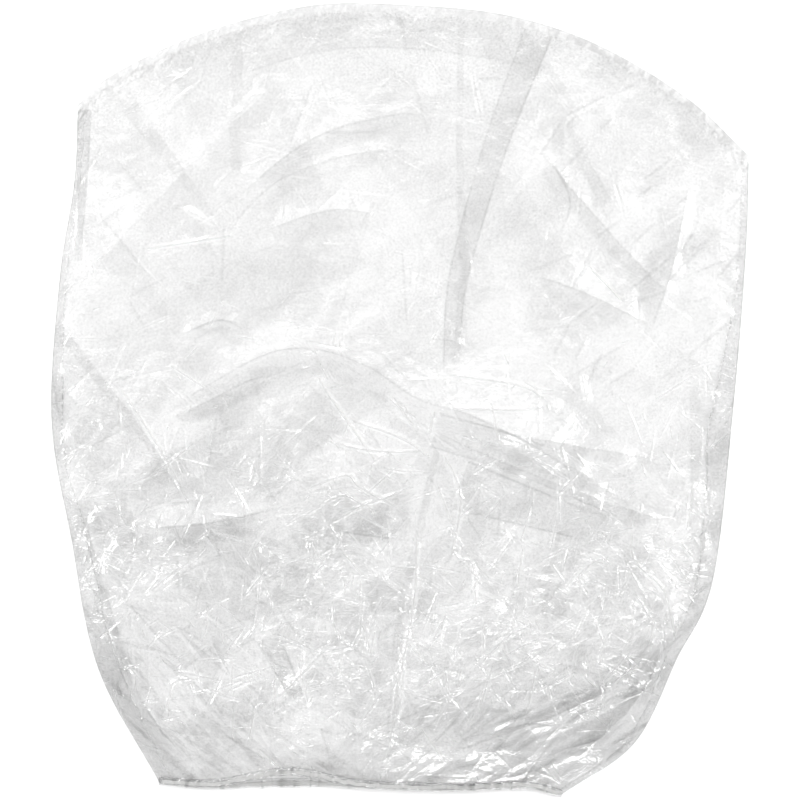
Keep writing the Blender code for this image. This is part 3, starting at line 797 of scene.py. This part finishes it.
def film_fields():
    """Over the plan: the front and back films' heights and plies, and the seal's crimps."""
    regions = cover_regions()
    folds, doubled_and_shaded_folds, whitened_and_highlit_folds = placed_folds()
    lines, doubled_and_shaded_lines, whitened_and_highlit_lines = scattered_creases(regions)
    drawn = mouth_folds()

    height = folds + FRONT_SWELLS * swells(3, 0.12) + DRAWN_FOLDS * regions["gathered"] * drawn
    for region, seed, length, width, angle, softness, rise in BROAD_FOLDS:
        height += rise * regions[region] * folded(seed, length, width, angle, softness)
    height += faceted(FACETS, regions) + blurred(lines, 0.0003)
    height *= 1 - 0.45 * regions["drawn_flat"]
    broad = blurred(height, BROAD_FROM)

    plies = 1.05 + 0.6 * regions["lower"] + 0.5 * regions["rim"] + overlaps(regions)
    plies += doubled_and_shaded_folds + doubled_and_shaded_lines
    plies += regions["gathered"] * (0.3 + 1.1 * smoothstep(-0.3, 0.6, drawn))

    back_region = 0.25 + 0.75 * regions["lower"]
    back_lines, doubled_and_shaded_back = creases(33, 220, back_region, (0.015, 0.07), (0.0004, 0.0014), 0.0030)
    back = BACK_LOFT + BACK_SWELLS * swells(5, 0.12)
    back += BACK_FOLDS * folded(48, 0.20, 0.060, -0.7, 0.0015)
    back += faceted(BACK_FACETS, regions) + blurred(back_lines, SOFTNESS["crease"])
    return {
        "broad": broad,
        "fine": height - broad,
        "plies": plies,
        "back": np.maximum(back, 0.0002),
        "whitened_and_highlit": np.maximum(whitened_and_highlit_folds, whitened_and_highlit_lines),
        # The back film's creases darken as partly pinched film, partly painted shade.
        "back_plies": 0.8 + 0.7 * doubled_and_shaded_back,
        "crumple": regions["relief"] * (1 - 0.75 * regions["gathered"]),
        "crimp": streaks(61, 0.006, 0.0035, 0.9) + 0.6 * streaks(62, 0.012, 0.009, 1.2),
    }


# ---- the pieces of film ----


def gusset_width(side, v):
    stations, widths = zip(*GUSSET_WIDTHS[side])
    return np.interp(v, stations, widths)


def film_levels(u, v, plan, cover):
    """The heights of the back and front films at shares u across and v along the cover."""
    in_side = np.minimum(u, 1 - u) * MEAN_WIDTH
    in_arch, in_mouth = v * MEAN_LENGTH, (1 - v) * MEAN_LENGTH
    in_edge = np.minimum(in_side, np.minimum(in_arch, in_mouth))
    loft = LOFT + MOUTH_LOFT * smoothstep(0.35, 0.75, v)
    loft *= (1 - np.exp(-in_arch / ARCH_RISE)) * (1 - np.exp(-in_side / SIDE_RISE))
    loft *= 0.5 + 0.5 * np.clip(in_mouth / MOUTH_RISE, 0, 1)
    folded_side = np.where(u < 0.5, gusset_width("left", v), gusset_width("right", v))
    calm = np.clip(in_edge / FINE_FADE, 0.12, 1)
    calm *= 0.6 + 0.4 * smoothstep(0.6, 1.2, in_side / folded_side)
    level = smoothstep(0, BROAD_FADE, in_edge + FINE_FADE)
    back = BACK_LEVEL + sample(cover["back"], plan) * np.clip(in_edge / BACK_FADE, 0.15, 1)
    front = FRONT_LEVEL + loft + sample(cover["fine"], plan) * calm
    front = np.maximum(front + sample(cover["broad"], plan) * level, back + FILM_GAP)
    sealed = smoothstep(SEAL_WIDTH + SEAL_FADE, SEAL_WIDTH, in_arch)
    seal = SEAL_LEVEL + CRIMP_DEPTH * sample(cover["crimp"], plan)
    back = back * (1 - sealed) + (seal - FILM_GAP / 3) * sealed
    front = front * (1 - sealed) + (seal + FILM_GAP / 3) * sealed
    return back, front


def share_grid(columns, rows, first=0.0, last=1.0):
    return np.meshgrid(np.linspace(0, 1, columns + 1), np.linspace(first, last, rows + 1))


def laid_out(layer, u, v, cover):
    """Where one film's shares u and v lie in plan, and the back and front films' heights."""
    plan = coons(cover["arch"], cover[layer + "_mouth"], cover["left"], cover["right"], u, v)
    return plan, *film_levels(u, v, plan, cover)


def film_sheet(name, columns, rows, cover, layer, plies):
    """A whole film, from the seal to the mouth."""
    u, v = share_grid(columns, rows, first=SEAL_WIDTH / MEAN_LENGTH)
    plan, back, front = laid_out(layer, u, v, cover)
    made = grid_mesh(name, np.dstack([plan, front if layer == "front" else back]))
    inset = np.minimum(u, 1 - u) * MEAN_WIDTH
    # Painted shade along the film's folded side edges, partly the turned film.
    turned = EDGE_PLIES_AND_SHADE * near(inset, PINCH)
    give(made, "plies", sample(cover[plies], plan) + turned)
    give(made, "crumple", sample(cover["crumple"], plan) * np.clip(inset / SIDE_CALM, 0.4, 1))
    if layer == "front":
        give(made, "whitened_and_highlit", sample(cover["whitened_and_highlit"], plan))
    return made


def arch_seal(cover):
    """The band round the arch where both films are fused, with its crimps."""
    u, v = share_grid(FRONT_COLUMNS, SEAL_ROWS, last=SEAL_WIDTH / MEAN_LENGTH)
    plan, back, front = laid_out("front", u, v, cover)
    made = grid_mesh("arch_seal", np.dstack([plan, (back + front) / 2]))
    mottled = smoothstep(-0.5, 0.5, sample(cover["crimp"], plan))
    give(made, "plies", 2.0 + (0.7 + 0.8 * smoothstep(0.55, 0.75, u)) * mottled + 2.5 * (v == 0))
    return made


def gusset(name, side, cover):
    """Film folded inward between the front and back films along one side."""
    s, v = share_grid(GUSSET_COLUMNS, GUSSET_ROWS, first=SEAL_WIDTH / MEAN_LENGTH)
    rng = np.random.default_rng(70 if side == "left" else 71)
    wander = np.interp(v, np.linspace(0, 1, 60), rng.normal(0, GUSSET_WANDER, 60))
    inward = (gusset_width(side, v) + wander) / MEAN_WIDTH * (1 - np.abs(2 * s - 1))
    u = inward if side == "left" else 1 - inward
    plan, back, front = laid_out("front", u, v, cover)
    made = grid_mesh(name, np.dstack([plan, back + (1 - s) * (front - back)]))
    fold_line = near(s - 0.5, 1.2 / GUSSET_COLUMNS)
    # Painted shade along the gusset's fold line, partly the turned film.
    give(made, "plies", 0.25 + EDGE_PLIES_AND_SHADE * fold_line)
    give(made, "crumple", np.full(s.shape, 0.2))
    return made


# ---- the hem and its elastic ----


def mouth_line(cover, layer, inset, count, ends=0.0):
    """A path along one film's mouth, inset metres in from its edge."""
    u = np.linspace(ends, 1 - ends, count + 1)[None, :]
    v = np.full(u.shape, 1 - inset / MEAN_LENGTH)
    plan, back, front = laid_out(layer, u, v, cover)
    return np.dstack([plan, front if layer == "front" else back])[0]


def tube(name, path, width, height, closed=False, squareness=1.0):
    """A flattened tube along a path that runs nearly level, of these widths and heights."""
    if closed:
        ahead = np.roll(path, -1, axis=0) - np.roll(path, 1, axis=0)
    else:
        ahead = np.gradient(path, axis=0)
    ahead[:, 2] = 0
    ahead /= np.maximum(np.linalg.norm(ahead, axis=1, keepdims=True), 1e-9)
    aside = np.column_stack([-ahead[:, 1], ahead[:, 0], np.zeros(len(path))])
    turn = np.linspace(0, 2 * math.pi, HEM_FACETS, endpoint=False)
    across = np.sign(np.cos(turn)) * np.abs(np.cos(turn)) ** squareness
    up = np.sign(np.sin(turn)) * np.abs(np.sin(turn)) ** squareness
    width, height = np.broadcast_to(width, len(path)), np.broadcast_to(height, len(path))
    ring = path[:, None, :] + aside[:, None, :] * (width[:, None] / 2 * across)[..., None]
    ring[..., 2] += height[:, None] / 2 * up
    return grid_mesh(name, ring, round_columns=True, round_rows=closed)


def gathers(seed, count, knots):
    """A random wavy value along a path, between about -1 and 1."""
    rng = np.random.default_rng(seed)
    return np.interp(np.linspace(0, 1, count + 1), np.linspace(0, 1, knots), rng.uniform(-1, 1, knots))


def hem(name, layer, cover, seed):
    """The hem tube of one film's mouth, drawn into small gathers by the elastic in it."""
    path = mouth_line(cover, layer, HEM_WIDTH / 2, HEM_STEPS)
    fine, broad = gathers(seed, HEM_STEPS, 110), gathers(seed + 1, HEM_STEPS, 36)
    path[:, 1] += HEM_WANDER * fine + HEM_SWAY * broad
    path[:, 2] += HEM_RIPPLE * fine + HEM_LIFT
    path[:, 2] = np.maximum(path[:, 2], HEM_HEIGHT * 0.7)
    heights = HEM_HEIGHT * (1 + 0.30 * gathers(seed + 2, HEM_STEPS, 90))
    made = tube(name, path, HEM_WIDTH * (1 + 0.20 * fine), heights)
    bunches = 0.5 + 2.5 * np.clip(gathers(seed + 3, HEM_STEPS, 150), 0, 1) ** 2
    for centre in BUNCHES:
        here = np.exp(-(((path[:, 0] - centre) / BUNCH_WIDTH) ** 2))
        bunches += BUNCH_PLIES * here * np.clip(0.6 + fine, 0, 2)
    give(made, "plies", np.repeat(bunches, HEM_FACETS))
    give(made, "crumple", np.full(bunches.size * HEM_FACETS, 0.3))
    return made


def hem_weld(name, layer, cover):
    path = mouth_line(cover, layer, HEM_WIDTH + WELD_WIDTH / 2, HEM_STEPS, ends=0.01)
    path[:, 2] = np.maximum(path[:, 2], WELD_HEIGHT)
    made = tube(name, path, WELD_WIDTH, WELD_HEIGHT, squareness=0.5)
    give(made, "plies", np.full(len(path) * HEM_FACETS, 1.4))
    return made


def elastic_loop(cover):
    """The elastic: along the front hem, round the corner, back along the back hem."""
    steps = HEM_STEPS
    front = mouth_line(cover, "front", HEM_WIDTH / 2, steps, ends=0.02)
    back = mouth_line(cover, "back", HEM_WIDTH / 2, steps, ends=0.02)[::-1]
    for path, seed in ((front, 81), (back, 82)):
        path[:, 1] += ELASTIC_WANDER * gathers(seed, steps, 60)
        path[:, 2] = np.maximum(path[:, 2], HEM_HEIGHT * 0.6)
    share = np.linspace(0, math.pi, 14)[1:-1, None]
    turns = []
    for start, end, outward in ((front[-1], back[0], 1), (back[-1], front[0], -1)):
        bend = (start + end) / 2 + (start - end) / 2 * np.cos(share)
        bend[:, 0] += outward * ELASTIC_TURN * np.sin(share[:, 0])
        turns.append(bend)
    path = np.vstack([front, turns[0], back, turns[1]])
    return tube("elastic_loop", path, ELASTIC_WIDTH, ELASTIC_HEIGHT, closed=True, squareness=0.35)


def elastic_lap(cover):
    """The short weld where the elastic's two ends overlap."""
    box_low, box_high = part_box("elastic_lap_weld")
    back = mouth_line(cover, "back", HEM_WIDTH / 2, HEM_STEPS)
    inside = back[(back[:, 0] > box_low.x) & (back[:, 0] < box_high.x)]
    inside[:, 2] = np.maximum(inside[:, 2], HEM_HEIGHT * 0.6)
    return tube("elastic_lap", inside, ELASTIC_WIDTH * 1.3, ELASTIC_HEIGHT * 1.8, squareness=0.35)


# ---- floor, light and camera ----


LAMP_DISTANCE = 2.6
FLOOR_REACH, FLOOR_DROP = 30, 0.0003  # half its side, and how far below the cover it lies
HALF_FRAME, FRAME_HEIGHT = 0.4, 0.01  # half the view's side, measured at this height
LENS, SENSOR = 85, 36  # in millimetres, as Blender wants them
SKY_STRENGTH = 1.24

# Name, compass direction in degrees from +Y, degrees off vertical, size in metres, radiance.
SOFTBOXES = [
    ("strip_near", 25, 9, (1.3, 0.07), 1.0),
    ("strip_left", -65, 14, (0.08, 1.1), 1.0),
    ("strip_right", 120, 17, (0.9, 0.08), 1.0),
    ("overhead_left", -48, 30, (0.55, 0.34), 1.5),
    ("overhead_right", 62, 33, (0.26, 0.55), 1.5),
    ("overhead_top", 8, 38, (0.7, 0.2), 1.6),
    ("overhead_bottom", 190, 31, (0.5, 0.18), 0.9),
    ("side_left", -80, 55, (1.2, 0.8), 5.9),
    ("side_right", 75, 53, (0.8, 1.2), 5.9),
    ("side_top", -12, 58, (1.6, 0.6), 5.9),
    ("side_bottom", 168, 56, (1.2, 0.5), 4.2),
]


# The studio's light: (sine of the height above the horizon, brightness).
SKY = [(0.0, 0.4), (0.4, 0.8), (0.65, 0.95), (0.8, 0.85), (0.9, 0.45), (0.95, 0.22), (1.0, 0.03)]


def softbox(name, azimuth, off_vertical, size, radiance):
    """A flat lamp aimed at the origin."""
    a, e = math.radians(azimuth), math.radians(off_vertical)
    away = Vector((math.sin(a) * math.sin(e), math.cos(a) * math.sin(e), math.cos(e)))
    lamp = bpy.data.lights.new(name, "AREA")
    lamp.shape = "RECTANGLE"
    lamp.size, lamp.size_y = size
    lamp.energy = math.pi * size[0] * size[1] * radiance
    made = in_scene(name, lamp)
    made.location = away * LAMP_DISTANCE
    made.rotation_mode = "QUATERNION"
    made.rotation_quaternion = away.to_track_quat("Z", "Y")


def build_floor():
    mesh = bpy.data.meshes.new("floor")
    signs = [(-1, -1), (1, -1), (1, 1), (-1, 1)]
    mesh.from_pydata([(FLOOR_REACH * x, FLOOR_REACH * y, 0) for x, y in signs], [], [(0, 1, 2, 3)])
    floor = in_scene("floor", mesh)
    floor.location.z = -FLOOR_DROP
    material, tree = new_material("floor")
    shader = tree.nodes["Principled BSDF"]
    shader.inputs["Base Color"].default_value = FLOOR_COLOUR
    shader.inputs["Roughness"].default_value = 0.9
    mesh.materials.append(material)


def build_sky(scene):
    world = bpy.data.worlds.new("studio")
    scene.world = world
    world.use_nodes = True
    tree = world.node_tree
    direction = node_fed(tree, "TexCoord", {}).outputs["Generated"]
    height = node_fed(tree, "SeparateXYZ", {0: direction}).outputs["Z"]
    ramp = node_fed(tree, "ValToRGB", {0: height})
    for element, (up, tone) in zip(ramp.color_ramp.elements, (SKY[0], SKY[-1])):
        element.position = up
        element.color = (tone, tone, tone, 1)
    for up, tone in SKY[1:-1]:
        ramp.color_ramp.elements.new(up).color = (tone, tone, tone, 1)
    background = tree.nodes["Background"]
    tree.links.new(ramp.outputs[0], background.inputs["Color"])
    background.inputs["Strength"].default_value = SKY_STRENGTH


def build_camera(scene):
    """A camera straight above, that frames HALF_FRAME either side of the origin."""
    camera_data = bpy.data.cameras.new("camera")
    camera_data.lens = LENS
    camera_data.sensor_width = SENSOR
    camera = in_scene("camera", camera_data)
    camera.location = (0, 0, HALF_FRAME / (SENSOR / 2 / LENS) + FRAME_HEIGHT)
    scene.camera = camera


def build_stage():
    scene = bpy.context.scene
    build_floor()
    build_sky(scene)
    for box in SOFTBOXES:
        softbox(*box)
    build_camera(scene)
    scene.view_settings.view_transform = "Standard"
    scene.cycles.transparent_max_bounces = 32
    scene.cycles.caustics_reflective = False
    scene.cycles.caustics_refractive = False


def elastic_material(name):
    """Milky, matt elastic with a fine grain."""
    material, tree = new_material(name)
    shader = tree.nodes["Principled BSDF"]
    place = node_fed(tree, "TexCoord", {}).outputs["Object"]
    grain = node_fed(tree, "TexNoise", {"Scale": ELASTIC_GRAIN, "Vector": place}).outputs["Fac"]
    tone = node_fed(tree, "ValToRGB", {"Fac": grain})
    for element, colour in zip(tone.color_ramp.elements, ELASTIC_COLOURS):
        element.color = colour
    tree.links.new(tone.outputs["Color"], shader.inputs["Base Color"])
    tree.links.new(relief(tree, grain, 0.0002), shader.inputs["Normal"])
    shader.inputs["Roughness"].default_value = 0.6
    return material


def dress(piece, material, node):
    """Give a piece its material, and let it stand in for its solid."""
    piece.data.materials.append(material)
    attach(piece, "root")
    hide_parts(node)


def build_cover():
    cover = film_fields() | {
        "arch": smooth_path(ARCH),
        "left": smooth_path(LEFT_SIDE),
        "right": smooth_path(RIGHT_SIDE),
        "front_mouth": smooth_path(MOUTH),
        "back_mouth": smooth_path(BACK_MOUTH),
    }
    clear = film_material("clear_film")
    welded = film_material("welded_film", haze=0.10, roughness=0.12)
    hemmed = film_material("hem_film", haze=0.05, roughness=0.08)
    rubber = elastic_material("elastic")

    back = film_sheet("back_film", BACK_COLUMNS, BACK_ROWS, cover, "back", "back_plies")
    front = film_sheet("front_film", FRONT_COLUMNS, FRONT_ROWS, cover, "front", "plies")
    left, right = gusset("left_gusset", "left", cover), gusset("right_gusset", "right", cover)
    seal = arch_seal(cover)
    front_hem = hem("front_hem", "front", cover, 90)
    back_hem = hem("back_hem", "back", cover, 95)
    front_weld = hem_weld("front_weld", "front", cover)
    back_weld = hem_weld("back_weld", "back", cover)
    dress(back, clear, "back_film_panel")
    dress(front, clear, "front_film_panel")
    dress(left, clear, "left_side_gusset")
    dress(right, clear, "right_side_gusset")
    dress(seal, welded, "arch_heat_seal")
    dress(front_hem, hemmed, "front_hem_casing")
    dress(back_hem, hemmed, "back_hem_casing")
    dress(front_weld, welded, "front_hem_weld")
    dress(back_weld, welded, "back_hem_weld")
    dress(elastic_loop(cover), rubber, "elastic_band")
    dress(elastic_lap(cover), rubber, "elastic_lap_weld")


build_stage()
build_cover()
